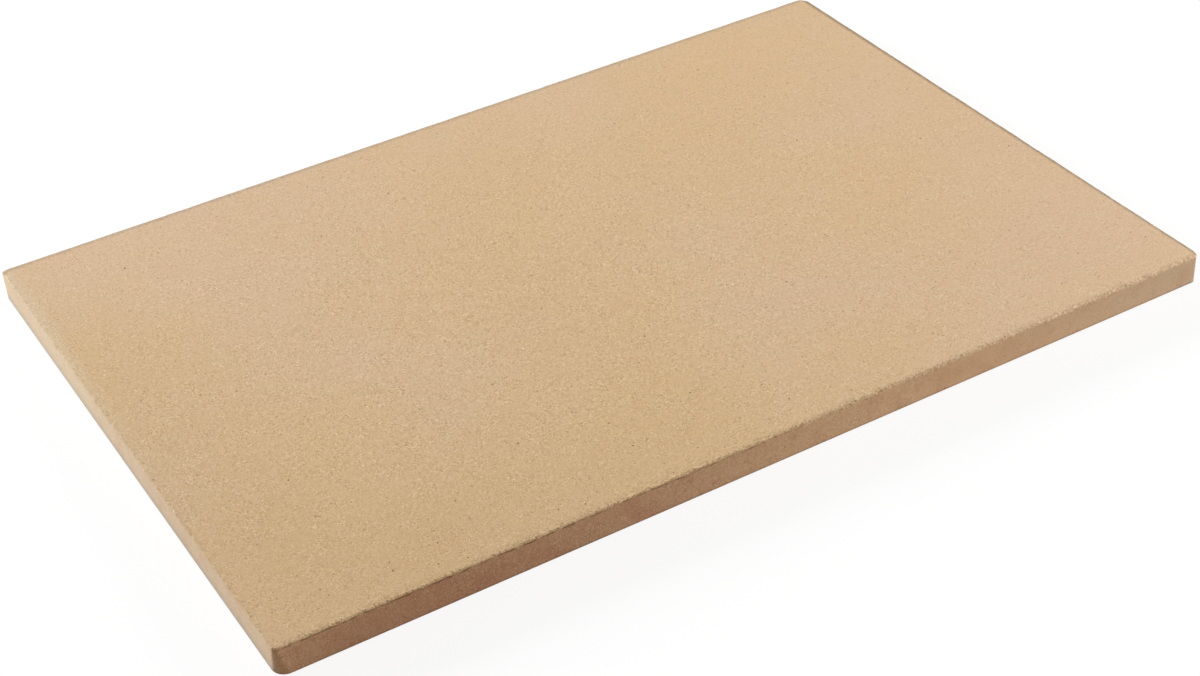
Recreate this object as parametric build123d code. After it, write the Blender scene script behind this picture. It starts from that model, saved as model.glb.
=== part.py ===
from build123d import *
import os

# Rectangular baking stone: one dry-pressed and fired slab, lying flat on its underside.
# Millimetres, +Z up. The origin is the middle of the underside, X runs along the long side,
# and -Y is the long side that faces the viewer.

# Overall size of the slab
slab_length = 508.0
slab_width = 343.0
slab_thickness = 17.0

# The upright corners, seen from above. Three are as pressed.
# The back right one is rounder, and the front left one is rubbed round towards its foot.
corner_radius = 2.0
back_right_corner_radius = 6.0
front_left_foot_radius = 7.0

# The long soft edges round the baking face and round the underside
baking_face_arris_radius = 1.0
underside_arris_radius = 0.8


def plan_face(front_left_radius, height):
    """The slab seen from above at one height: a rectangle with its four corners rounded."""
    half_length = slab_length / 2
    half_width = slab_width / 2
    # Front left, front right, back right, back left
    corners = [
        (-half_length, -half_width),
        (half_length, -half_width),
        (half_length, half_width),
        (-half_length, half_width),
    ]
    radii = [front_left_radius, corner_radius, back_right_corner_radius, corner_radius]
    outline = FilletPolyline(*corners, radius=radii, close=True)
    return Plane.XY.offset(height) * make_face(outline)


def baking_stone():
    """The pressed slab, with the edges round its two large faces softened."""
    foot = plan_face(front_left_foot_radius, 0)
    head = plan_face(corner_radius, slab_thickness)
    slab = loft([foot, head], ruled=True)
    slab = fillet(slab.faces().sort_by(Axis.Z)[-1].edges(), baking_face_arris_radius)
    return fillet(slab.faces().sort_by(Axis.Z)[0].edges(), underside_arris_radius)


os.makedirs("parts", exist_ok=True)
export_step(baking_stone(), "parts/baking_stone.step")
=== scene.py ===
import math
from functools import partial

import bmesh
import bpy
from mathutils import Matrix, Vector
from mathutils.geometry import delaunay_2d_cdt


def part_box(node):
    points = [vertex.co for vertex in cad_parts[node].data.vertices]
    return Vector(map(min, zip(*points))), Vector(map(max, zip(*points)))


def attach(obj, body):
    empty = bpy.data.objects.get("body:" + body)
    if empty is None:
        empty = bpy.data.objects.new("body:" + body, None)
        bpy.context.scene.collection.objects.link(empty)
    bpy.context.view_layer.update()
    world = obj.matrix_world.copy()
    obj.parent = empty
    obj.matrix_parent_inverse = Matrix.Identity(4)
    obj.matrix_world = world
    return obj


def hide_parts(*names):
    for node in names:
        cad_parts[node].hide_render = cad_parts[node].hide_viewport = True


bl_info = {
    "name": "Baking stone",
    "version": (1, 0, 0),
    "blender": (4, 5, 0),
    "location": "View3D > Sidebar > Baking stone",
    "description": "Dresses a packed rectangular baking stone as pressed and fired cordierite",
    "category": "Object",
}

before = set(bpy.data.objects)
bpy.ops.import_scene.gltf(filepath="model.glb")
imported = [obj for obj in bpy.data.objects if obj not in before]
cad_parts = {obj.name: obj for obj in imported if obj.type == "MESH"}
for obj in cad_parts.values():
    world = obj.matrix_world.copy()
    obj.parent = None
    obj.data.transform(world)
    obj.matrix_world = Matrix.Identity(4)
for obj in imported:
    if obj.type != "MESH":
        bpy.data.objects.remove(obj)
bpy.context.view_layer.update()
STONE_NODE = "baking_stone"
STONE_LOW, STONE_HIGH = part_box(STONE_NODE)
HALF_X, HALF_Y, TOP = STONE_HIGH
LEFT, RIGHT, FRONT, BACK = -HALF_X, HALF_X, -HALF_Y, HALF_Y
BODY = "root"
MM = 0.001


def to_linear(hex_colour):
    """An sRGB hex colour as linear red, green and blue, with an alpha of 1."""
    shares = [int(hex_colour[i : i + 2], 16) / 255 for i in (1, 3, 5)]
    return (*(c / 12.92 if c <= 0.04045 else ((c + 0.055) / 1.055) ** 2.4 for c in shares), 1.0)


def add_node(tree, kind, inputs=None, **settings):
    """Adds a node with its settings. Inputs go by name or number, and each is a value, a node,
    a node with the name of its output, or a list of these for a socket that takes several."""
    node = tree.nodes.new(kind)
    for name, value in settings.items():
        setattr(node, name, value)
    for key, given in (inputs or {}).items():
        named = (s for s in node.inputs if s.enabled and s.name == key)
        socket = node.inputs[key] if isinstance(key, int) else next(named)
        for value in given if isinstance(given, list) else [given]:
            pair = value if isinstance(value, tuple) else (value, None)
            if isinstance(pair[0], bpy.types.Node):
                outputs = (s for s in pair[0].outputs if s.enabled and pair[1] in (None, s.name))
                tree.links.new(next(outputs), socket)
            else:
                socket.default_value = value
    return node


def node_adder(owner):
    """Empties the node tree of a material or world, and returns what adds a node to it."""
    owner.use_nodes = True
    owner.node_tree.nodes.clear()
    return partial(add_node, owner.node_tree)


def length(name, millimetres, description):
    return bpy.props.FloatProperty(
        name=name, description=description, default=millimetres * MM, unit="LENGTH"
    )


def colour(name, hex_colour, description):
    return bpy.props.FloatVectorProperty(
        name=name, description=description, default=to_linear(hex_colour), size=4, subtype="COLOR"
    )


def angle(name, degrees, description):
    return bpy.props.FloatProperty(
        name=name, description=description, default=math.radians(degrees), subtype="ANGLE"
    )


class StoneSizes(bpy.types.PropertyGroup):
    """Corners, edges and surface of the slab"""

    corner_radius: length("Corner radius", 2.0, "Rounding of the upright corners")
    back_right_corner_radius: length("Back right corner", 6.0, "Rounding of the roundest corner")
    front_left_foot_radius: length(
        "Front left foot", 7.0, "Rounding of the front left corner at its rubbed foot"
    )
    outline_step: length("Outline step", 0.75, "Distance between mesh points round the outline")
    burr_height: length("Burr height", 0.12, "Most that the burr on the upper edge is worn down")
    crumble_depth: length("Crumble depth", 0.35, "Most that the brittle upper edge has crumbled")
    crumble_length: length("Crumble length", 9.0, "Usual length of a crumbled stretch of edge")
    wear_length: length("Wear length", 25.0, "Usual length of a stretch of worn edge")
    grit_depth: length("Grit depth", 0.22, "Depth of the sandy relief along the upper edge")
    grit_width: length("Grit width", 1.1, "Width of the sandy relief along the upper edge")
    ripple: length("Ripple", 0.15, "How far the walls wander in from straight")
    pit_radius: length("Pit radius", 0.8, "Radius of the widest open pits")
    grain_radius: length("Grain radius", 0.7, "Radius of the widest grains that stand proud")
    feature_spacing: length("Feature spacing", 4.0, "Least distance between pits or grains")
    chip_radius: length("Chip radius", 0.6, "Radius of the widest chips in the upper edge")
    crumb_radius: length("Crumb radius", 0.5, "Radius of the widest crumbs on the upper edge")
    chip_spacing: length("Chip spacing", 1.8, "Least distance between chips or crumbs")
    features: bpy.props.FloatProperty(
        name="Features", description="Most pits and grains on a square metre", default=7500.0
    )
    seed: bpy.props.IntProperty(
        name="Seed", description="Another number gives another stone of the same kind", default=7
    )


class StoneColours(bpy.types.PropertyGroup):
    """Colours of the fired body"""

    yellow_body: colour("Yellow body", "#D6B588", "Baking face where it fired yellow")
    pink_body: colour("Pink body", "#D7B896", "Baking face where it fired pink")
    dark_grain: colour("Dark grain", "#A4835A", "Crushed dark grog")
    # Also paints the shade in open pits and the shadow line under the front burr
    iron_spot_and_painted_shade: colour("Iron spot", "#6A4728", "Specks of burnt iron, and dirt in open pits")
    # Its share at the front left also stands for painted shade
    brown_wall_and_painted_shade: colour("Brown wall", "#BC8F6E", "Wall where the die rubbed it smooth and brown")
    tan_wall: colour("Tan wall", "#D3AD87", "Wall where it kept the colour of the mix")
    dusty_wall: colour("Dusty wall", "#C8AF91", "Wall with dust fired on")
    # Partly dust and partly a painted sheen
    pale_dust_and_sheen: colour("Pale dust", "#DDCDB0", "Dust on the left side, towards the back")
    # The foot of the left side, greyer and darker
    grey_foot: colour("Grey dirt", "#9B9790", "Dirt on the foot of the left side")
    # Painted shade on the rims at the right and at the back
    painted_grey_rim: colour("Grey rim", "#BFBCB4", "Rims at the right and at the back")
    wall_blush: colour("Wall blush", "#B4785C", "Reddish flush on the walls")


class StageSettings(bpy.types.PropertyGroup):
    """Camera, lamps and floor"""

    azimuth: angle("Azimuth", -28.7224, "Camera's turn about the upright axis, from in front")
    elevation: angle("Elevation", 35.661, "Camera's angle above the floor")
    roll: angle("Roll", -3.776, "Camera's turn about its line of sight")
    distance: length("Distance", 1135.37, "From the camera to the point that it aims at")
    aim: bpy.props.FloatVectorProperty(
        name="Aim",
        description="Point in the slab's mid plane that the camera aims at",
        default=(-23.12 * MM, -49.61 * MM, 8.5 * MM),
        subtype="XYZ",
        unit="LENGTH",
    )
    focal_length: bpy.props.FloatProperty(
        name="Focal length",
        description="Lens focal length in millimetres, on a sensor 36 mm wide",
        default=69.119,
    )
    ambient: bpy.props.FloatProperty(
        name="Ambient", description="Strength of the light from all round", default=0.26
    )
    ambient_colour: colour("Ambient colour", "#FFF3E2", "Tint of the light from all round")
    paper: colour("Paper", "#C6BEB2", "Floor, as its light reaches the stone")


# Rounding segments of each upright corner, and the least rounding left where a ring lies far in
CORNER_SEGMENTS = 20
LEAST_CORNER = 0.4 * MM

# How far in mm the walls and the baking face lie inside the solid, which only the burr reaches
WALL_INSET = 0.2
FACE_DEPTH = 0.15

# Rings of the slab's skin: every how manieth point of the outline a ring keeps, then in mm how
# far it lies in from the side and how far below the top, first where the edge is still crisp and
# then where it is worn round, and then its shares of the burr, of the crumbling and of the
# walls' ripple. The crisp edge has a low burr that overhangs a shallow groove, as the die leaves
# it. This edge takes the finest rings.
UPPER_RINGS = [
    (2, 5.0, FACE_DEPTH, 5.0, FACE_DEPTH, 0.0, 0.0, 0.0),
    (1, 3.5, FACE_DEPTH, 3.5, FACE_DEPTH, 0.0, 0.0, 0.0),
    (1, 2.7, 0.13, 2.6, 0.13, 0.2, 0.2, 0.0),
    (1, 2.1, 0.08, 2.0, 0.07, 0.7, 0.5, 0.0),
    (1, 1.55, 0.03, 1.5, 0.03, 1.0, 0.9, 0.0),
    (1, 1.05, 0.03, 1.1, 0.06, 1.0, 1.0, 0.0),
    (1, 0.6, 0.05, 0.8, 0.16, 0.9, 1.0, 0.0),
    (1, 0.25, 0.09, 0.58, 0.3, 0.8, 1.0, 0.1),
    (1, 0.07, 0.22, 0.42, 0.47, 0.4, 1.0, 0.2),
    (1, 0.03, 0.5, 0.31, 0.68, 0.0, 0.95, 0.3),
    (1, 0.14, 0.8, 0.25, 0.95, 0.0, 0.7, 0.4),
    (1, 0.28, 1.1, 0.22, 1.3, 0.0, 0.35, 0.5),
    (1, 0.34, 1.5, WALL_INSET, 1.8, 0.0, 0.1, 0.6),
    (1, 0.28, 2.0, WALL_INSET, 2.3, 0.0, 0.0, 0.8),
    (2, WALL_INSET, 3.5, WALL_INSET, 3.5, 0.0, 0.0, 1.0),
    (2, WALL_INSET, 6.0, WALL_INSET, 6.0, 0.0, 0.0, 1.0),
    (2, WALL_INSET, 9.5, WALL_INSET, 9.5, 0.0, 0.0, 1.0),
    (2, WALL_INSET, 12.8, WALL_INSET, 12.8, 0.0, 0.0, 1.0),
]

# The rings below them keep every second point too. They round the foot, and the last one lies
# in the underside, this far in from the side in mm.
WALL_STEP = 2
FOOT_RADIUS = 0.8
FOOT_SEGMENTS = 4
UNDERSIDE_RING = 3.0

# Inside the last ring of a large face, thinned rings lead to a wide grid: how far they lie in
# from the side in mm, and every how manieth point of the last ring they keep. The grid has this
# spacing and begins this far in, in mm.
CAP_RINGS = [(7.3, 6), (11.0, 12)]
CAP_GRID = 11.0
CAP_GRID_INSET = 15.0

# The shortest edge that is kept, and in metres how near each other two points count as one
SLIVER = 0.002 * MM
SAME_PLACE = 1e-7

SHARE_NAMES = ("burr", "crumble", "ripple", "baking_face", "underside")


def outline_ring(half_x, half_y, radii, counts):
    """Points round a rectangle with rounded corners, anticlockwise from the front left corner,
    each with the direction in which it looks outwards."""
    arcs = []
    quarters = [i / CORNER_SEGMENTS for i in range(CORNER_SEGMENTS + 1)]
    for k, (side_x, side_y) in enumerate([(-1, -1), (1, -1), (1, 1), (-1, 1)]):
        radius = radii[k]
        centre = Vector((side_x * (half_x - radius), side_y * (half_y - radius)))
        turns = [math.pi + (k + quarter) * math.pi / 2 for quarter in quarters]
        looks = [Vector((math.cos(t), math.sin(t))) for t in turns]
        arcs.append([(centre + look * radius, look) for look in looks])
    ring = []
    for k, arc in enumerate(arcs):
        start, look = arc[-1]
        end = arcs[(k + 1) % 4][0][0]
        count = counts[k % 2]
        ring += arc + [(start.lerp(end, i / count), look) for i in range(1, count)]
    return ring


def cap_faces(rim, inner):
    """Triangles that fill a flat face inside its rim, as numbers of rim and inner points."""
    found = delaunay_2d_cdt(rim + inner, [], [range(len(rim))], 1, SAME_PLACE, True)
    own = [ids[0] for ids in found[3]]
    return [[own[i] for i in face] for face, within in zip(found[2], found[5]) if within]


def stone_cage(sizes):
    """The slab's closed skin as points, faces, inward directions, moves to the worn edge, and
    shares."""
    counts = [2 * round(half / sizes.outline_step) for half in (HALF_X, HALF_Y)]
    full = 2 * sum(counts) + 4 * CORNER_SEGMENTS
    rings = []
    for every, inset, depth, worn_inset, worn_depth, *share in UPPER_RINGS:
        moves = ((worn_inset - inset) * MM, (depth - worn_depth) * MM)
        rings.append((every, inset * MM, TOP - depth * MM, *moves, *share))
    for i in range(FOOT_SEGMENTS + 1):
        turn = i / FOOT_SEGMENTS * math.pi / 2
        inset = WALL_INSET + FOOT_RADIUS * (1 - math.cos(turn))
        height = FOOT_RADIUS * (1 - math.sin(turn))
        ripple = 1.0 - i / FOOT_SEGMENTS
        rings.append((WALL_STEP, inset * MM, height * MM, 0.0, 0.0, 0.0, 0.0, ripple))
    rings.append((WALL_STEP, UNDERSIDE_RING * MM, 0.0, 0.0, 0.0, 0.0, 0.0, 0.0))

    def ring_at(inset, height):
        foot, corner = sizes.front_left_foot_radius, sizes.corner_radius
        front_left = foot + (corner - foot) * height / TOP
        radii = [front_left, corner, sizes.back_right_corner_radius, corner]
        radii = [max(radius - inset, LEAST_CORNER) for radius in radii]
        return outline_ring(HALF_X - inset, HALF_Y - inset, radii, counts)

    points, inward, worn, shares, numbers = [], [], [], [], []
    for every, inset, height, move_in, move_up, *share in rings:
        numbers.append({})
        for k, (place, look) in list(enumerate(ring_at(inset, height)))[::every]:
            numbers[-1][k] = len(points)
            points.append((place.x, place.y, height))
            inward.append((-look.x, -look.y, 0.0))
            worn.append((-look.x * move_in, -look.y * move_in, move_up))
            shares.append((*share, 0.0, 0.0))
    faces = []
    for r in range(len(rings) - 1):
        upper, lower = numbers[r], numbers[r + 1]
        step = max(rings[r][0], rings[r + 1][0])
        for i in range(0, full, step):
            span = [k % full for k in range(i, i + step + 1)]
            down = [lower[k] for k in span if k in lower]
            back = [upper[k] for k in span[::-1] if k in upper]
            faces.append(down + back)

    wide_x, wide_y = HALF_X - CAP_GRID_INSET * MM, HALF_Y - CAP_GRID_INSET * MM
    columns, rows = (round(2 * wide / (CAP_GRID * MM)) for wide in (wide_x, wide_y))
    size = full // WALL_STEP
    for base, height, up in ((0, rings[0][2], True), (len(points) - size, 0.0, False)):
        inner = []
        for inset, every in CAP_RINGS:
            inner += [place for place, look in ring_at(inset * MM, height)][::every]
        # Neighbouring columns lie half a step apart, so that the triangles are even
        for m in range(columns + 1):
            for n in range(rows + 1):
                shift = (m % 2 - 0.5) / 2 if 0 < n < rows else 0
                x, y = m / columns * 2 - 1, (n + shift) / rows * 2 - 1
                inner.append(Vector((x * wide_x, y * wide_y)))
        first = len(points)
        points += [(place.x, place.y, height) for place in inner]
        inward += [(0.0, 0.0, 0.0)] * len(inner)
        worn += [(0.0, 0.0, 0.0)] * len(inner)
        shares += [(0.0, 0.0, 0.0, float(up), float(not up))] * len(inner)
        for i in range(size):
            shares[base + i] = (*shares[base + i][:3], float(up), float(not up))
        for face in cap_faces([Vector(points[base + i][:2]) for i in range(size)], inner):
            ids = [base + i if i < size else first + i - size for i in face]
            faces.append(ids if up else ids[::-1])
    return points, faces, inward, worn, shares


def cage_object(name, sizes):
    """A mesh object of the cage, with its directions, moves and shares as point attributes."""
    points, faces, inward, worn, shares = stone_cage(sizes)
    mesh = bpy.data.meshes.new(name)
    mesh.from_pydata(points, [], faces)
    for vector_name, vectors in (("inward", inward), ("worn", worn)):
        attribute = mesh.attributes.new(vector_name, "FLOAT_VECTOR", "POINT")
        attribute.data.foreach_set("vector", [c for vector in vectors for c in vector])
    for k, share_name in enumerate(SHARE_NAMES):
        attribute = mesh.attributes.new(share_name, "FLOAT", "POINT")
        attribute.data.foreach_set("value", [share[k] for share in shares])
    stone = bpy.data.objects.new(name, mesh)
    bpy.context.scene.collection.objects.link(stone)
    return stone


# Inputs of a node that maps a range, in the order of the tables' columns. A row that leaves the
# last columns out takes the range from 0 to 1.
RANGE = ("Value", "From Min", "From Max", "To Min", "To Max")

# The cage takes these sizes, and the surface tree takes all the others as its inputs
CAGE_SIZES = (
    "corner_radius",
    "back_right_corner_radius",
    "front_left_foot_radius",
    "outline_step",
)

# Stretches of the upper edge: name, axis, where it begins and where it is complete, in metres,
# and the shares there
EDGE_STRETCHES = (
    ("at_front", "Y", FRONT + 4 * MM, FRONT + 1.5 * MM),
    ("at_back", "Y", BACK - 4 * MM, BACK - 1.5 * MM),
    ("at_left", "X", LEFT + 4 * MM, LEFT + 1.5 * MM, 0.0, 0.55),
    ("at_right", "X", RIGHT - 4 * MM, RIGHT - 1.5 * MM),
    ("to_right", "X", -0.04, 0.14, 0.25, 0.85),
    ("to_back", "Y", -0.12, 0.17, 0.0, 0.6),
)

# Noises of the surface: name, forms to a metre or the input for the width of one, detail, the
# part of its range that counts, and the shares at the two ends of that part
SURFACE_NOISES = (
    ("wear", "Wear Length", 2.0, 0.0, 1.0, -0.4, 0.4),
    ("bites", "Crumble Length", 3.0, 0.46, 0.7),
    ("brittle", 28.0, 1.0, 0.38, 0.62, 0.25, 1.0),
    ("grit", "Grit Width", 1.0, 0.36, 0.64),
    ("burr", 120.0, 4.0, 0.3, 0.7),
    ("wander", 22.0, 3.0),
)

# How much the right and back edges crumble beside the others, and how far down a crumbled place
# goes for each metre that it goes in
FIRM_SHARE = 0.3
DOWN_SHARE = 0.6

# Where the surface tree scatters its pits and grains. Each row names the share that has to be
# above MARKED_SHARE there, the input for the least distance, the most on a square metre, the radii
# of what is cut out and of what is set in, and how many of their own radii these lie off the skin.
SCATTERS = (
    ("baking_face", "Feature Spacing", "Features", "Pit Radius", 0.45, "Grain Radius", -0.66),
    ("underside", "Feature Spacing", 1500.0, "Pit Radius", 0.5, "Grain Radius", -0.9),
    ("crumble", "Chip Spacing", 260000.0, "Chip Radius", 0.3, "Crumb Radius", -0.5),
)
MARKED_SHARE = 0.85

# First seeds of the draws in each scatter: pit or grain, size, turn and shape
KIND_SEED, SIZE_SEED, TURN_SEED, SHAPE_SEED = 11, 21, 31, 41
SEED_STEP = 10.0

# The least size and the least thickness of a pit or grain as shares of the most. The power makes
# most of them small.
LEAST_SIZE = 0.4
LEAST_THICKNESS = 0.7
SIZE_POWER = 2.0

# How far the skin of a pit or grain is pushed about, and how fine the noise is that does it
BALL_UNEVENNESS = 0.25 * MM
BALL_NOISE_SCALE = 1500.0

# The greatest angle between faces that look smooth together, on the level faces and round the
# edges, and the sum of shares from which a place counts as an edge
LEVEL_ANGLE = math.radians(2.5)
EDGE_ANGLE = math.radians(40)
EDGE_SHARE = 0.05


def surface_tree(sizes, material):
    """Geometry nodes that wear and crumble the upper edge, ripple the walls, cut pits and chips,
    and set grains into the skin. Returns the tree, and each input's value by its identifier."""
    tree = bpy.data.node_groups.new("Fired slab surface", "GeometryNodeTree")
    add = partial(add_node, tree)
    values = {}
    tree.interface.new_socket("Geometry", in_out="INPUT", socket_type="NodeSocketGeometry")
    rows = [
        (name.replace("_", " ").title(), getattr(sizes, name))
        for name in StoneSizes.__annotations__
        if name not in CAGE_SIZES
    ]
    for label, value in (*rows, ("Material", material)):
        kind = {float: "Float", int: "Int"}.get(type(value), "Material")
        socket = tree.interface.new_socket(label, in_out="INPUT", socket_type="NodeSocket" + kind)
        values[socket.identifier] = value
    tree.interface.new_socket("Geometry", in_out="OUTPUT", socket_type="NodeSocketGeometry")
    given = add("NodeGroupInput")
    position = add("GeometryNodeInputPosition")
    share = {
        name: add("GeometryNodeInputNamedAttribute", {"Name": name}, data_type="FLOAT")
        for name in SHARE_NAMES
    }
    inward = add("GeometryNodeInputNamedAttribute", {"Name": "inward"}, data_type="FLOAT_VECTOR")
    worn_by = add("GeometryNodeInputNamedAttribute", {"Name": "worn"}, data_type="FLOAT_VECTOR")
    across = add("ShaderNodeSeparateXYZ", {0: position})
    edge = {
        name: add("ShaderNodeMapRange", dict(zip(RANGE, ((across, axis), *limits))))
        for name, axis, *limits in EDGE_STRETCHES
    }
    noise = {}
    for name, scale, detail, *limits in SURFACE_NOISES:
        if isinstance(scale, str):
            scale = add("ShaderNodeMath", {0: 1.0, 1: (given, scale)}, operation="DIVIDE")
        inputs = {"Vector": position, "Scale": scale, "Detail": detail}
        texture = add("ShaderNodeTexNoise", inputs)
        noise[name] = add("ShaderNodeMapRange", dict(zip(RANGE, (texture, *limits))))

    # The front edge is worn round, most at its right end, the right edge towards the back, and
    # the left edge a little
    wear = add("ShaderNodeMath", {0: noise["wear"], 1: edge["at_left"]}, operation="ADD")
    wear = add(
        "ShaderNodeMath",
        {0: edge["at_front"], 1: edge["to_right"], 2: wear},
        operation="MULTIPLY_ADD",
    )
    wear = add(
        "ShaderNodeMath",
        {0: edge["at_right"], 1: edge["to_back"], 2: wear},
        operation="MULTIPLY_ADD",
        use_clamp=True,
    )
    worn_in = add("ShaderNodeVectorMath", {0: worn_by, "Scale": wear}, operation="SCALE")

    # The upper edge crumbles in short bites, more of them in some stretches than in others, and
    # single grains stand out all along it. At the right and at the back it is firmer.
    far = add("ShaderNodeMath", {0: edge["at_right"], 1: edge["at_back"]}, operation="MAXIMUM")
    crumbly = add("ShaderNodeMapRange", {"Value": far, "To Min": 1.0, "To Max": FIRM_SHARE})
    crumble = noise["bites"]
    for factor in (noise["brittle"], (given, "Crumble Depth")):
        crumble = add("ShaderNodeMath", {0: crumble, 1: factor}, operation="MULTIPLY")
    crumble = add(
        "ShaderNodeMath",
        {0: noise["grit"], 1: (given, "Grit Depth"), 2: crumble},
        operation="MULTIPLY_ADD",
    )

    # The burr stands full only here and there, and the walls wander a little
    amounts = []
    for amount, *factors in (
        (crumble, share["crumble"], crumbly),
        (noise["burr"], share["burr"], (given, "Burr Height")),
        (noise["wander"], share["ripple"], (given, "Ripple")),
    ):
        for factor in factors:
            amount = add("ShaderNodeMath", {0: amount, 1: factor}, operation="MULTIPLY")
        amounts.append(amount)
    crumble, lowered, wander = amounts

    moved_in = add("ShaderNodeMath", {0: crumble, 1: wander}, operation="ADD")
    moved_in = add("ShaderNodeVectorMath", {0: inward, "Scale": moved_in}, operation="SCALE")
    down = add("ShaderNodeMath", {0: crumble, 1: DOWN_SHARE, 2: lowered}, operation="MULTIPLY_ADD")
    down = add("ShaderNodeMath", {0: 0.0, 1: down}, operation="SUBTRACT")
    moved = add("ShaderNodeCombineXYZ", {"Z": down})
    for other in (moved_in, worn_in):
        moved = add("ShaderNodeVectorMath", {0: other, 1: moved}, operation="ADD")
    skin = add("GeometryNodeSetPosition", {"Geometry": (given, "Geometry"), "Offset": moved})

    # What is cut out and what is set in share one scatter, so that no two of them meet.
    # Pits are round, from trapped air, and grains are angular, from crushed grog.
    round_ball = add("GeometryNodeMeshIcoSphere", {"Radius": 1.0, "Subdivisions": 2})
    crushed_ball = add("GeometryNodeMeshIcoSphere", {"Radius": 1.0, "Subdivisions": 1})
    uneven = add(
        "ShaderNodeTexNoise", {"Vector": position, "Scale": BALL_NOISE_SCALE, "Detail": 1.0}
    )
    uneven = add(
        "ShaderNodeVectorMath", {0: (uneven, "Color"), 1: (0.5, 0.5, 0.5)}, operation="SUBTRACT"
    )
    uneven = add("ShaderNodeVectorMath", {0: uneven, "Scale": BALL_UNEVENNESS}, operation="SCALE")
    cut, set_in = [], []
    for number, row in enumerate(SCATTERS):
        mark, spacing, most, cut_radius, cut_rise, set_radius, set_rise = row
        marked = add("ShaderNodeMath", {0: share[mark], 1: MARKED_SHARE}, operation="GREATER_THAN")
        seed = add("ShaderNodeMath", {0: (given, "Seed"), 1: SEED_STEP * number}, operation="ADD")
        scatter = add(
            "GeometryNodeDistributePointsOnFaces",
            {
                "Mesh": skin,
                "Selection": marked,
                "Distance Min": (given, spacing),
                "Density Max": (given, most) if isinstance(most, str) else most,
                "Density Factor": crumbly,
                "Seed": seed,
            },
            distribute_method="POISSON",
        )
        kind, size, turn, shape = (
            add(
                "FunctionNodeRandomValue",
                {"Min": low, "Max": high, "Seed": first + number},
                data_type="FLOAT_VECTOR" if isinstance(low, tuple) else "FLOAT",
            )
            for first, low, high in (
                (KIND_SEED, 0.0, 1.0),
                (SIZE_SEED, 0.0, 1.0),
                (TURN_SEED, (0.0,) * 3, (math.tau,) * 3),
                (SHAPE_SEED, (LEAST_THICKNESS,) * 3, (1.0,) * 3),
            )
        )
        size = add("ShaderNodeMath", {0: size, 1: SIZE_POWER}, operation="POWER")
        size = add("ShaderNodeMapRange", {"Value": size, "To Min": LEAST_SIZE})
        for ball, choice, widest, rise, kept in (
            (round_ball, "LESS_THAN", cut_radius, cut_rise, cut),
            (crushed_ball, "GREATER_THAN", set_radius, set_rise, set_in),
        ):
            chosen = add("ShaderNodeMath", {0: kind, 1: 0.5}, operation=choice)
            radius = add("ShaderNodeMath", {0: size, 1: (given, widest)}, operation="MULTIPLY")
            lift = add("ShaderNodeMath", {0: radius, 1: rise}, operation="MULTIPLY")
            lift = add(
                "ShaderNodeVectorMath", {0: (scatter, "Normal"), "Scale": lift}, operation="SCALE"
            )
            centres = add("GeometryNodeSetPosition", {"Geometry": scatter, "Offset": lift})
            scale = add("ShaderNodeVectorMath", {0: shape, "Scale": radius}, operation="SCALE")
            inputs = {
                "Points": centres,
                "Selection": chosen,
                "Instance": ball,
                "Rotation": turn,
                "Scale": scale,
            }
            balls = add("GeometryNodeInstanceOnPoints", inputs)
            balls = add("GeometryNodeRealizeInstances", {"Geometry": balls})
            kept.append(add("GeometryNodeSetPosition", {"Geometry": balls, "Offset": uneven}))

    pitted = add(
        "GeometryNodeMeshBoolean", {0: skin, 1: cut}, operation="DIFFERENCE", solver="MANIFOLD"
    )
    grained = add(
        "GeometryNodeMeshBoolean",
        {1: [(pitted, "Mesh"), *set_in]},
        operation="UNION",
        solver="MANIFOLD",
    )
    # Nothing stands out of the pressed block, because the die and the plate above it held it in
    least = add("ShaderNodeVectorMath", {0: position, 1: STONE_LOW}, operation="MAXIMUM")
    held = add("ShaderNodeVectorMath", {0: least, 1: STONE_HIGH}, operation="MINIMUM")
    held = add("GeometryNodeSetPosition", {"Geometry": (grained, "Mesh"), "Position": held})

    # Large flat faces keep a sharp edge round each pit and grain, and rounded edges stay smooth
    bend = add("GeometryNodeInputMeshEdgeAngle")
    rounded = share["crumble"]
    for other in ("ripple", "burr"):
        rounded = add("ShaderNodeMath", {0: rounded, 1: share[other]}, operation="ADD")
    limits = (rounded, 0.0, EDGE_SHARE, LEVEL_ANGLE, EDGE_ANGLE)
    limit = add("ShaderNodeMapRange", dict(zip(RANGE, limits)))
    soft = add("ShaderNodeMath", {0: (bend, "Unsigned Angle"), 1: limit}, operation="LESS_THAN")
    smooth = add("GeometryNodeSetShadeSmooth", {"Geometry": held})
    smooth = add(
        "GeometryNodeSetShadeSmooth", {"Geometry": smooth, "Shade Smooth": soft}, domain="EDGE"
    )
    solid = add("GeometryNodeRealizeInstances", {"Geometry": smooth})
    dressed = add("GeometryNodeSetMaterial", {"Geometry": solid, "Material": (given, "Material")})
    add("NodeGroupOutput", {"Geometry": dressed})
    return tree, values


# Where the pattern of yellow and pink patches is laid, in metres, how it is turned, how wide the
# patches are, and how much pinker the slab gets with each metre to the right
PATCH_PLACE = (12.916, 13.975, 2.026)
PATCH_TURN = math.radians(180)
PATCH_WIDTH = 130 * MM
PATCH_SLANT = 0.35

FACE_HEIGHT = TOP - FACE_DEPTH * MM

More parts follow.
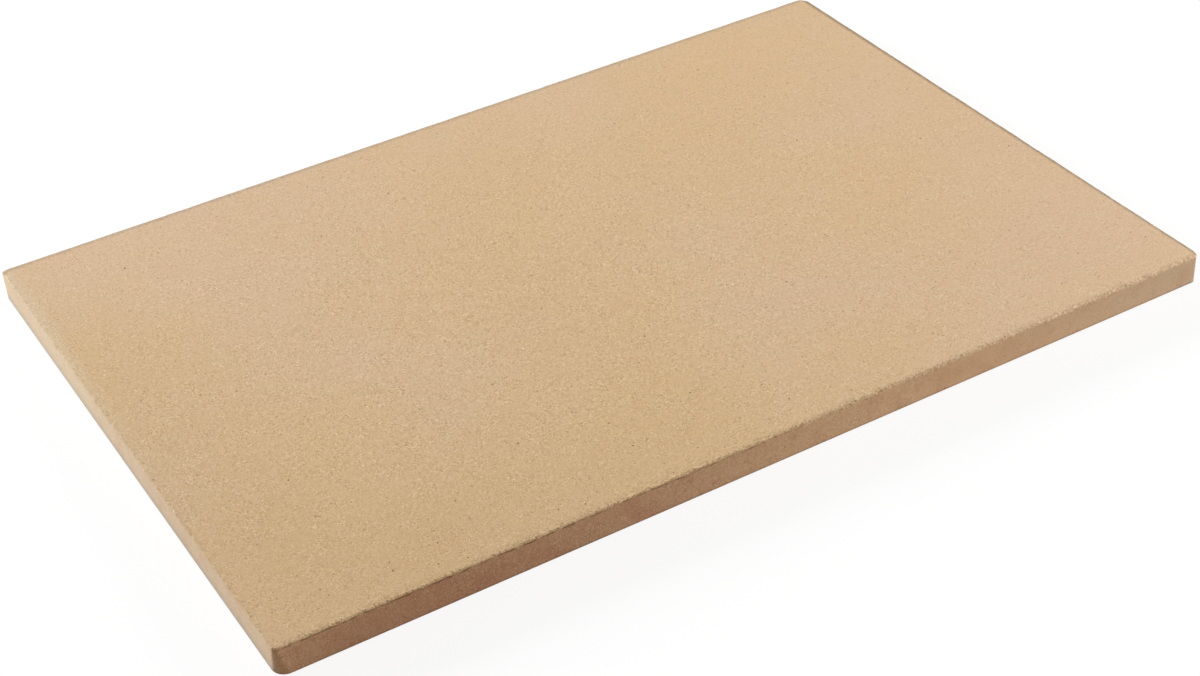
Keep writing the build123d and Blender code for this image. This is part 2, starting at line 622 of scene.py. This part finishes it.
# Stretches of the slab where its looks change: name, what it is measured along, where it begins
# and where it is complete, in metres, and the shares there. Side is the distance in from the
# nearest side. Middle is the distance from the sandiest place, which is a little left of the
# middle, and it grows faster along Y.
STRETCHES = (
    ("at_front", "Y", FRONT + 5 * MM, FRONT + 1 * MM),
    ("line_drop", "X", -0.1, 0.15, 0.45 * MM, 1.15 * MM),
    ("brown", "X", 0.04, -0.15),
    ("less_brown", "X", -0.21, -0.25, 0.0, 0.35),
    ("tan", "X", 0.3, 0.12),
    ("rubbed_hard", "X", 0.12, -0.08),
    ("sandy_face", "middle", 0.12, 0.38, 1.06, 0.55),
    ("dusty_left", "X", LEFT + 8 * MM, LEFT + 0.5 * MM, 0.0, 0.5),
    ("dusty_back", "Y", -0.06, 0.1),
    ("dusty_wall", "Y", 0.08, 0.15, 0.65, 0.3),
    ("dirty_left", "X", LEFT + 3 * MM, LEFT + 1 * MM, 0.0, 0.42),
    ("dirty_foot", "Z", 7 * MM, 2 * MM),
    ("on_burr", "side", 4.0 * MM, 1.6 * MM),
    ("less_worn", "X", 0.15, -0.1, 0.35, 0.85),
    ("crumbs_in_front", "Y", FRONT + 5 * MM, FRONT + 1 * MM, 0.18, 1.0),
    ("in_pit", "Z", FACE_HEIGHT - 0.03 * MM, FACE_HEIGHT - 0.3 * MM, 0.0, 0.65),
    ("crisp", "X", 0.08, -0.08),
    ("lower_arris", "Z", 1.8 * MM, 0.4 * MM),
    ("shoulder", "Z", TOP - 2.6 * MM, TOP - 0.4 * MM),
    ("past_edge", "Y", FRONT + 2 * MM, FRONT + 1 * MM),
    ("wall_top", "Z", TOP - 2.6 * MM, TOP - 0.8 * MM),
    ("outermost_left", "X", LEFT + 1.5 * MM, LEFT + 0.6 * MM),
    ("grains_right", "X", -0.1, 0.15, 0.3, 1.0),
    ("grains_up", "Z", TOP - 3.0 * MM, TOP - 1.8 * MM),
    ("margin", "side", 100 * MM, 30 * MM),
    ("left_front", "X + Y", -0.1, -0.3),
    ("wall_foot", "Z", 10 * MM, 4 * MM),
    ("right_half", "X", -0.1, 0.08),
)
SANDIEST = (-0.08, -0.02)
SANDY_SQUEEZE = 1.5
PIT_INSET = 3.2 * MM

# Noises of the body: name, width in mm, detail, the part of its range that counts, and the values
# at the two ends of that part. The first two are heights in metres.
NOISES = (
    ("line_jitter", 1.4, 1.0, 0.0, 1.0, -1.5 * MM, 1.5 * MM),
    ("line_wander", 9.0, 3.0, 0.0, 1.0, -1.0 * MM, 1.0 * MM),
    ("line_broken", 5.0, 4.0, 0.34, 0.56),
    ("blush", 14.0, 3.0, 0.5, 0.68),
    ("dense", 7.0, 2.0, 0.35, 0.65, 0.5, 1.3),
    ("crumbs", 1.1, 1.0, 0.5, 0.64),
    ("grains", 1.2, 1.0, 0.0, 1.0, -0.5, 0.5),
    ("grit", 0.9, 2.0),
)

# Soft clouds of brightness: width in mm, strength and detail
CLOUDS = (
    (0.9, 0.2, 1.0),
    (2.4, 0.13, 1.0),
    (8.0, 0.06, 2.0),
    (45.0, 0.04, 2.0),
)

# The painted shadow line under the front burr lies this far below the top
LINE_DEPTH = 1.55 * MM

# The painted shade on the rims at the right and at the back: how much wider the right one gets
# with each metre towards the back, how grey both are, and how much darker each is
RIM_SLANT = 0.004
RIM_PAINTED_GREY = 0.27
RIGHT_RIM_SHADE, BACK_RIM_SHADE = 0.42, 0.16

# How much a change in brightness moves red, green and blue, for the single grains, and for the
# painted light and shade and the grains on the shoulder
SPECKLE_TINT = (0.92, 1.42, 1.98)
SHADE_TINT = (1.0, 1.15, 1.4)


def fired_cordierite(colours):
    """Dry-pressed and fired cordierite: a matt, dry, sandy body of crushed grog in a fine bond.
    The pressed face is grainy, the walls are rubbed smooth by the die, and nothing shines."""
    material = bpy.data.materials.new("Fired cordierite, dry pressed")
    add = node_adder(material)
    place = (add("ShaderNodeTexCoord"), "Object")
    across = add("ShaderNodeSeparateXYZ", {0: place})
    along = {axis: (across, axis) for axis in "XYZ"}
    sides = {}
    for number, (axis, half) in enumerate((("X", HALF_X), ("Y", HALF_Y))):
        off_middle = add("ShaderNodeMath", {0: along[axis]}, operation="ABSOLUTE")
        sides[number] = add("ShaderNodeMath", {0: half, 1: off_middle}, operation="SUBTRACT")
    along["side"] = add("ShaderNodeMath", sides, operation="MINIMUM")
    along["X + Y"] = add("ShaderNodeMath", {0: along["X"], 1: along["Y"]}, operation="ADD")
    squeeze = (1.0, SANDY_SQUEEZE, 0.0)
    shift = (-SANDIEST[0], -SANDIEST[1] * SANDY_SQUEEZE, 0.0)
    from_middle = add(
        "ShaderNodeVectorMath", {0: place, 1: squeeze, 2: shift}, operation="MULTIPLY_ADD"
    )
    from_middle = add("ShaderNodeVectorMath", {0: from_middle}, operation="LENGTH")
    along["middle"] = (from_middle, "Value")
    part = {
        name: add("ShaderNodeMapRange", dict(zip(RANGE, (along[measure], *limits))))
        for name, measure, *limits in STRETCHES
    }
    for name, width, detail, *limits in NOISES:
        inputs = {"Vector": place, "Scale": 1 / (width * MM), "Detail": detail}
        texture = add("ShaderNodeTexNoise", inputs)
        part[name] = add("ShaderNodeMapRange", dict(zip(RANGE, (texture, *limits))))
    at_front, past_edge = part["at_front"], part["past_edge"]

    # The rubbed walls begin along a crumbly line under the burr. In front it lies lower, most so
    # at the worn right end.
    rub = add(
        "ShaderNodeMath",
        {0: part["line_drop"], 1: at_front, 2: along["Z"]},
        operation="MULTIPLY_ADD",
    )
    rub = add("ShaderNodeMath", {0: rub, 1: part["line_jitter"]}, operation="ADD")
    limits = (rub, TOP - 0.6 * MM, TOP - 1.1 * MM)
    wall = add("ShaderNodeMapRange", dict(zip(RANGE, limits)))
    off_wall = add("ShaderNodeMath", {0: 1.0, 1: wall}, operation="SUBTRACT")

    # The body fires yellow in some places and pink in others, in soft patches, and this stone is
    # pinker towards the right
    laid = add(
        "ShaderNodeMapping",
        {"Vector": place, "Location": PATCH_PLACE, "Rotation": (0.0, 0.0, PATCH_TURN)},
    )
    pink = add("ShaderNodeTexNoise", {"Vector": laid, "Scale": 1 / PATCH_WIDTH, "Detail": 2.0})
    pink = add(
        "ShaderNodeMath", {0: along["X"], 1: PATCH_SLANT, 2: pink}, operation="MULTIPLY_ADD"
    )
    pink = add("ShaderNodeMapRange", {"Value": pink, "From Min": 0.28, "From Max": 0.72})

    # The walls are brown at the front left, partly their own colour and partly painted shade, less
    # so at the very corner, where painted light from the left falls. They are tan along the front
    # and dusty elsewhere, and have a reddish flush, most where the die rubbed them hard.
    brown = add("ShaderNodeMath", {0: part["brown"], 1: part["less_brown"]}, operation="SUBTRACT")
    tan = add("ShaderNodeMath", {0: part["tan"], 1: at_front}, operation="MULTIPLY")
    dusty = add("ShaderNodeMath", {0: 1.0, 1: tan}, operation="SUBTRACT")
    rubbed = add("ShaderNodeMath", {0: part["rubbed_hard"], 1: at_front}, operation="MULTIPLY")
    redder = add("ShaderNodeMapRange", {"Value": rubbed, "To Min": 0.2, "To Max": 0.42})
    blush = add("ShaderNodeMath", {0: part["blush"], 1: redder}, operation="MULTIPLY")
    wall_colour = colours.tan_wall
    for share, layer in (
        (brown, colours.brown_wall_and_painted_shade),
        (dusty, colours.dusty_wall),
        (blush, colours.wall_blush),
    ):
        mixed = {"Factor": share, "A": wall_colour, "B": layer}
        wall_colour = add("ShaderNodeMix", mixed, data_type="RGBA")

    # The face is sandy all over, most of it left of the middle, and less towards the sides, where
    # the mix was pressed denser. The walls are smoother, but mottled at the front left.
    mottled = add("ShaderNodeMapRange", {"Value": rubbed, "To Min": 0.45, "To Max": 1.25})
    mixed = {"Value": wall, "To Min": part["sandy_face"], "To Max": mottled}
    sandy = add("ShaderNodeMapRange", mixed)

    # Grog of 0.2 to 0.6 mm, drawn at its widest so that it shows. A few grains are pale and a few
    # are dark, in some places more than in others.
    grog = add("ShaderNodeTexVoronoi", {"Vector": place, "Scale": 1 / (0.52 * MM)}, feature="F1")
    lot = add("ShaderNodeSeparateColor", {0: (grog, "Color")})
    dense = add("ShaderNodeMath", {0: part["dense"], 1: sandy}, operation="MULTIPLY")
    dark, pale, tone = (
        add("ShaderNodeMapRange", dict(zip(RANGE, ((lot, channel), *limits))))
        for channel, *limits in (
            ("Green", 0.8, 1.0, 0.0, 0.6),
            ("Blue", 0.82, 1.0, 0.0, 0.26),
            ("Red", 0.0, 1.0, -0.1, 0.1),
        )
    )
    dark = add("ShaderNodeMath", {0: dark, 1: dense}, operation="MULTIPLY")

    # Single grains differ in brightness, and so do soft clouds from a crumb to a thumb wide. Pale
    # grains are whiter than the body and dark ones are deeper in colour, so the speckle changes
    # blue more than red.
    tone = add("ShaderNodeMath", {0: tone, 1: pale}, operation="ADD")
    tone = add("ShaderNodeMath", {0: tone, 1: dense}, operation="MULTIPLY")
    for width, strength, detail in CLOUDS:
        inputs = {"Vector": place, "Scale": 1 / (width * MM), "Detail": detail}
        cloud = add("ShaderNodeTexNoise", inputs)
        limits = (cloud, 0.0, 1.0, -strength / 2, strength / 2)
        cloud = add("ShaderNodeMapRange", dict(zip(RANGE, limits)))
        tone = add("ShaderNodeMath", {0: cloud, 1: sandy, 2: tone}, operation="MULTIPLY_ADD")
    speckle = add("ShaderNodeVectorMath", {0: SPECKLE_TINT, "Scale": tone}, operation="SCALE")

    # A painted shadow, a dark broken line, runs in the groove under the front burr, wanders up
    # and down a little, and fades where the edge is worn round
    line = add("ShaderNodeMath", {0: along["Z"], 1: part["line_wander"]}, operation="ADD")
    line = add("ShaderNodeMath", {0: line, 1: TOP - LINE_DEPTH}, operation="SUBTRACT")
    line = add("ShaderNodeMath", {0: line}, operation="ABSOLUTE")
    limits = (line, 0.6 * MM, 0.2 * MM, 0.0, 0.85)
    line = add("ShaderNodeMapRange", dict(zip(RANGE, limits)))

    # Dark crumbs lie along the burr, most of them in front, and fewer where it is worn away. Dirt
    # and painted shade lie in the open pits of the baking face.
    inside = add("ShaderNodeMath", {0: along["side"], 1: PIT_INSET}, operation="GREATER_THAN")
    marks = []
    for mark, *factors in (
        (line, part["line_broken"], part["crisp"], at_front),
        (part["crumbs"], part["less_worn"], part["crumbs_in_front"], part["on_burr"], off_wall),
        (part["in_pit"], inside),
    ):
        for factor in factors:
            mark = add("ShaderNodeMath", {0: mark, 1: factor}, operation="MULTIPLY")
        marks.append(mark)
    line, crumbs, pit = marks
    dark = add("ShaderNodeMath", {0: dark, 1: crumbs}, operation="MAXIMUM")

    # Iron spots of 0.5 mm, some 10 mm apart
    spots = add("ShaderNodeTexVoronoi", {"Vector": place, "Scale": 1 / (8 * MM)}, feature="F1")
    limits = ((spots, "Distance"), 0.07, 0.03, 0.0, 0.6)
    dirt = add("ShaderNodeMapRange", dict(zip(RANGE, limits)))
    # The dirt mask also carries the painted shade in the pits and the painted shadow line under
    # the burr
    for other in (pit, line):
        dirt = add("ShaderNodeMath", {0: dirt, 1: other}, operation="MAXIMUM")

    # Painted shade greys and darkens the rims at the right and at the back
    slanted = add(
        "ShaderNodeMath", {0: along["Y"], 1: RIM_SLANT, 2: along["X"]}, operation="MULTIPLY_ADD"
    )
    right_rim, back_rim, on_rim = (
        add("ShaderNodeMapRange", dict(zip(RANGE, limits)), interpolation_type="SMOOTHSTEP")
        for limits in (
            (slanted, RIGHT - 3.2 * MM, RIGHT - 0.9 * MM),
            (along["Y"], BACK - 4.5 * MM, BACK - 0.8 * MM),
            (rub, TOP - 3.8 * MM, TOP - 1.0 * MM),
        )
    )
    rim_painted_grey = add("ShaderNodeMath", {0: right_rim, 1: back_rim}, operation="MAXIMUM")
    right = add("ShaderNodeMath", {0: right_rim, 1: RIGHT_RIM_SHADE}, operation="MULTIPLY")
    back = add("ShaderNodeMath", {0: back_rim, 1: BACK_RIM_SHADE}, operation="MULTIPLY")
    shaded = add("ShaderNodeMath", {0: right, 1: back}, operation="MAXIMUM")

    # Pale dust and a painted sheen lie on the left side, towards the back, and over its edge onto
    # the face, and the foot of the left side is greyer and darker
    dust = add("ShaderNodeMapRange", {"Value": wall, "To Min": 1.0, "To Max": part["dusty_wall"]})
    body = colours.yellow_body
    for layer, share, *factors in (
        (colours.pink_body, pink),
        (wall_colour, wall),
        (colours.pale_dust_and_sheen, part["dusty_back"], part["dusty_left"], dust),
        (colours.grey_foot, part["dirty_foot"], part["dirty_left"]),
        (colours.painted_grey_rim, rim_painted_grey, on_rim, RIM_PAINTED_GREY),
        (colours.dark_grain, dark),
        (colours.iron_spot_and_painted_shade, dirt),
    ):
        for factor in factors:
            share = add("ShaderNodeMath", {0: share, 1: factor}, operation="MULTIPLY")
        mixed = {"Factor": share, "A": body, "B": layer}
        body = add("ShaderNodeMix", mixed, data_type="RGBA")

    # Painted shade darkens the arris of the underside, the far rims, the top of the left wall, and
    # a little the face along its sides at the front left. Painted light brightens the shoulder
    # under the front edge, and painted bounce light from the floor brightens the foot of the front
    # wall's right half. Grains show on the shoulder, most at its worn right end.
    tone = 0.0
    for strength, share, *factors in (
        (-0.25, part["lower_arris"]),
        (0.15, part["shoulder"], past_edge, at_front),
        (-1.0, shaded, on_rim),
        (-0.07, part["wall_top"], part["outermost_left"]),
        (1.3, part["grains"], part["grains_right"], past_edge, at_front, part["grains_up"]),
        (-0.045, part["margin"], off_wall, part["left_front"]),
        (0.06, part["wall_foot"], at_front, part["right_half"]),
    ):
        for factor in factors:
            share = add("ShaderNodeMath", {0: share, 1: factor}, operation="MULTIPLY")
        tone = add("ShaderNodeMath", {0: share, 1: strength, 2: tone}, operation="MULTIPLY_ADD")
    shade = add("ShaderNodeVectorMath", {0: SHADE_TINT, "Scale": tone}, operation="SCALE")
    for other in (speckle, (1.0, 1.0, 1.0)):
        shade = add("ShaderNodeVectorMath", {0: shade, 1: other}, operation="ADD")
    body = add("ShaderNodeVectorMath", {0: (body, "Result"), 1: shade}, operation="MULTIPLY")

    # Relief of the sandy face, drawn 0.9 mm wide for grit of half that, and flatter on the walls
    relief = add("ShaderNodeMath", {0: part["grit"], 1: (grog, "Distance")}, operation="SUBTRACT")
    relief = add("ShaderNodeMath", {0: relief, 1: sandy}, operation="MULTIPLY")
    bump = add("ShaderNodeBump", {"Strength": 0.5, "Distance": 0.12 * MM, "Height": relief})
    rough = add("ShaderNodeMapRange", {"Value": part["grit"], "To Min": 0.84, "To Max": 0.98})
    look = {"Base Color": body, "Roughness": rough, "IOR": 1.5, "Normal": bump}
    add("ShaderNodeOutputMaterial", {"Surface": add("ShaderNodeBsdfPrincipled", look)})
    return material


# How much of a level face's normal points up or down, and the least bend next to such a face
# that gets a sharp edge
LEVEL_SHARE = 0.9999
SHARP_ANGLE = math.radians(6)


def seal(mesh):
    """Takes the slivers that the booleans left out of a mesh, and then the fins: faces that hang
    on an edge which two others share. Level faces get a sharp edge again where they meet a slope,
    so that they look flat. Returns whether the mesh is closed."""
    work = bmesh.new()
    work.from_mesh(mesh)
    bmesh.ops.triangulate(work, faces=work.faces)
    bmesh.ops.dissolve_degenerate(work, dist=SLIVER, edges=work.edges)
    crowded = (face for edge in work.edges if len(edge.link_faces) > 2 for face in edge.link_faces)
    fins = {face for face in crowded if any(edge.is_boundary for edge in face.edges)}
    bmesh.ops.delete(work, geom=list(fins), context="FACES")
    work.normal_update()
    for edge in work.edges:
        level = any(abs(face.normal.z) > LEVEL_SHARE for face in edge.link_faces)
        if level and edge.calc_face_angle(0.0) > SHARP_ANGLE:
            edge.smooth = False
    closed = bool(work.faces) and all(len(edge.link_faces) == 2 for edge in work.edges)
    work.to_mesh(mesh)
    work.free()
    return closed


class STONE_OT_slab(bpy.types.Operator):
    """Make the pressed and fired slab"""

    bl_idname = "baking_stone.slab"
    bl_label = "Slab"

    def execute(self, context):
        sizes = context.scene.stone_sizes
        stone = cage_object("fired_slab", sizes)
        tree, values = surface_tree(sizes, fired_cordierite(context.scene.stone_colours))
        modifier = stone.modifiers.new("Surface", "NODES")
        modifier.node_group = tree
        for identifier, value in values.items():
            modifier[identifier] = value
        evaluated = stone.evaluated_get(context.evaluated_depsgraph_get())
        mesh = bpy.data.meshes.new_from_object(evaluated)
        if not seal(mesh):
            raise RuntimeError("the surface tree gave no closed mesh")
        stone.modifiers.remove(modifier)
        stone.data = mesh
        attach(stone, BODY)
        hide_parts(STONE_NODE)
        return {"FINISHED"}


# The floor's width in metres, and how far it lies below the slab
FLOOR_SIZE = 12.0
FLOOR_DROP = 0.3 * MM

# The paper as the camera sees it near the slab: what it shows of lamps and shadows, and its glow.
# Further out it turns pure white between these distances from the middle, in metres.
NEAR_PAPER = "#747474"
NEAR_GLOW = 0.86
WHITE_FROM, WHITE_BY = 0.5, 1.1

# The camera's sensor in mm, and the nearest that it sees
SENSOR_WIDTH = 36.0
NEAREST_SEEN = 10 * MM

# Each soft box: name, place in metres, width, power in watts, colour. All aim at the slab.
LAMPS = [
    ("window_light", (-1.5, 2.72, 0.9), 1.25, 183.0, "#F6FAFF"),
    ("front_fill", (1.55, -0.69, 0.5), 1.05, 29.6, "#FAFCFF"),
]


def direct_view(add):
    """1 for rays that show the background: straight to the camera, mirrored or through glass."""
    path = add("ShaderNodeLightPath")
    direct = (path, "Is Camera Ray")
    for kind in ("Is Glossy Ray", "Is Transmission Ray"):
        direct = add("ShaderNodeMath", {0: direct, 1: (path, kind)}, operation="MAXIMUM")
    return direct


def paper_floor(stage):
    """White backdrop paper. The camera sees the stone's faint shadow on it, and pure white
    further out."""
    material = bpy.data.materials.new("White backdrop paper")
    add = node_adder(material)
    paper = add("ShaderNodeBsdfDiffuse", {"Color": stage.paper})
    shaded = add("ShaderNodeBsdfDiffuse", {"Color": to_linear(NEAR_PAPER)})
    glow = add("ShaderNodeEmission", {"Strength": NEAR_GLOW})
    near = add("ShaderNodeAddShader", {0: shaded, 1: glow})
    white = add("ShaderNodeEmission", {"Strength": 1.0})
    place = (add("ShaderNodeTexCoord"), "Object")
    away = add("ShaderNodeVectorMath", {0: place}, operation="LENGTH")
    limits = ((away, "Value"), WHITE_FROM, WHITE_BY)
    away = add("ShaderNodeMapRange", dict(zip(RANGE, limits)))
    seen = add("ShaderNodeMixShader", {0: away, 1: near, 2: white})
    mixed = add("ShaderNodeMixShader", {0: direct_view(add), 1: paper, 2: seen})
    add("ShaderNodeOutputMaterial", {"Surface": mixed})
    return material


def light_world(scene, stage):
    """Even light from all round, in front of a white backdrop."""
    world = bpy.data.worlds.new("Studio")
    add = node_adder(world)
    light = {"Color": stage.ambient_colour, "Strength": stage.ambient}
    even = add("ShaderNodeBackground", light)
    backdrop = add("ShaderNodeBackground", {"Color": (1.0, 1.0, 1.0, 1.0), "Strength": 1.0})
    mixed = add("ShaderNodeMixShader", {0: direct_view(add), 1: even, 2: backdrop})
    add("ShaderNodeOutputWorld", {"Surface": mixed})
    scene.world = world


def place_camera(scene, stage):
    """The camera, from its turn, height angle, roll and distance."""
    azimuth, elevation, roll = stage.azimuth, stage.elevation, stage.roll
    level = Vector((math.cos(azimuth), math.sin(azimuth), 0.0))
    back = Vector((level.y, -level.x, 0.0)) * math.cos(elevation)
    back.z = math.sin(elevation)
    upright = back.cross(level)
    right = level * math.cos(roll) + upright * math.sin(roll)
    up = upright * math.cos(roll) - level * math.sin(roll)
    lens = bpy.data.cameras.new("camera")
    lens.sensor_width = SENSOR_WIDTH
    lens.lens = stage.focal_length
    lens.clip_start = NEAREST_SEEN
    camera = bpy.data.objects.new("camera", lens)
    turn = Matrix((right, up, back)).transposed().to_4x4()
    camera.matrix_world = Matrix.Translation(Vector(stage.aim) + back * stage.distance) @ turn
    scene.collection.objects.link(camera)
    scene.camera = camera


class STONE_OT_stage(bpy.types.Operator):
    """Make the floor, the lamps and the camera"""

    bl_idname = "baking_stone.stage"
    bl_label = "Stage"

    def execute(self, context):
        scene, stage = context.scene, context.scene.stone_stage
        half = FLOOR_SIZE / 2
        mesh = bpy.data.meshes.new("floor")
        corners = [(-half, -half), (half, -half), (half, half), (-half, half)]
        mesh.from_pydata([(x, y, -FLOOR_DROP) for x, y in corners], [], [(0, 1, 2, 3)])
        mesh.materials.append(paper_floor(stage))
        floor = bpy.data.objects.new("floor", mesh)
        scene.collection.objects.link(floor)
        light_world(scene, stage)
        for name, place, width, power, tint in LAMPS:
            lamp = bpy.data.lights.new(name, "AREA")
            lamp.size = width
            lamp.energy = power
            lamp.color = to_linear(tint)[:3]
            holder = bpy.data.objects.new(name, lamp)
            holder.location = place
            holder.rotation_euler = (-Vector(place)).to_track_quat("-Z", "Y").to_euler()
            scene.collection.objects.link(holder)
        place_camera(scene, stage)
        scene.view_settings.view_transform = "Standard"
        return {"FINISHED"}


GROUPS = {"stone_sizes": StoneSizes, "stone_colours": StoneColours, "stone_stage": StageSettings}
OPERATORS = (STONE_OT_slab, STONE_OT_stage)


class STONE_PT_panel(bpy.types.Panel):
    """Lists what the add-on makes, and its sizes and colours"""

    bl_idname = "STONE_PT_panel"
    bl_label = "Baking stone"
    bl_space_type = "VIEW_3D"
    bl_region_type = "UI"
    bl_category = "Baking stone"

    def draw(self, context):
        for group_name, group in GROUPS.items():
            for name in group.__annotations__:
                self.layout.prop(getattr(context.scene, group_name), name)
        for operator in OPERATORS:
            self.layout.operator(operator.bl_idname)


def register():
    for kind in (*GROUPS.values(), *OPERATORS, STONE_PT_panel):
        bpy.utils.register_class(kind)
    for name, group in GROUPS.items():
        setattr(bpy.types.Scene, name, bpy.props.PointerProperty(type=group))


def unregister():
    for name in GROUPS:
        delattr(bpy.types.Scene, name)
    for kind in (STONE_PT_panel, *reversed(OPERATORS), *reversed(GROUPS.values())):
        bpy.utils.unregister_class(kind)


def main():
    register()
    bpy.ops.baking_stone.slab()
    bpy.ops.baking_stone.stage()
    bpy.context.view_layer.update()


if __name__ == "__main__":
    main()
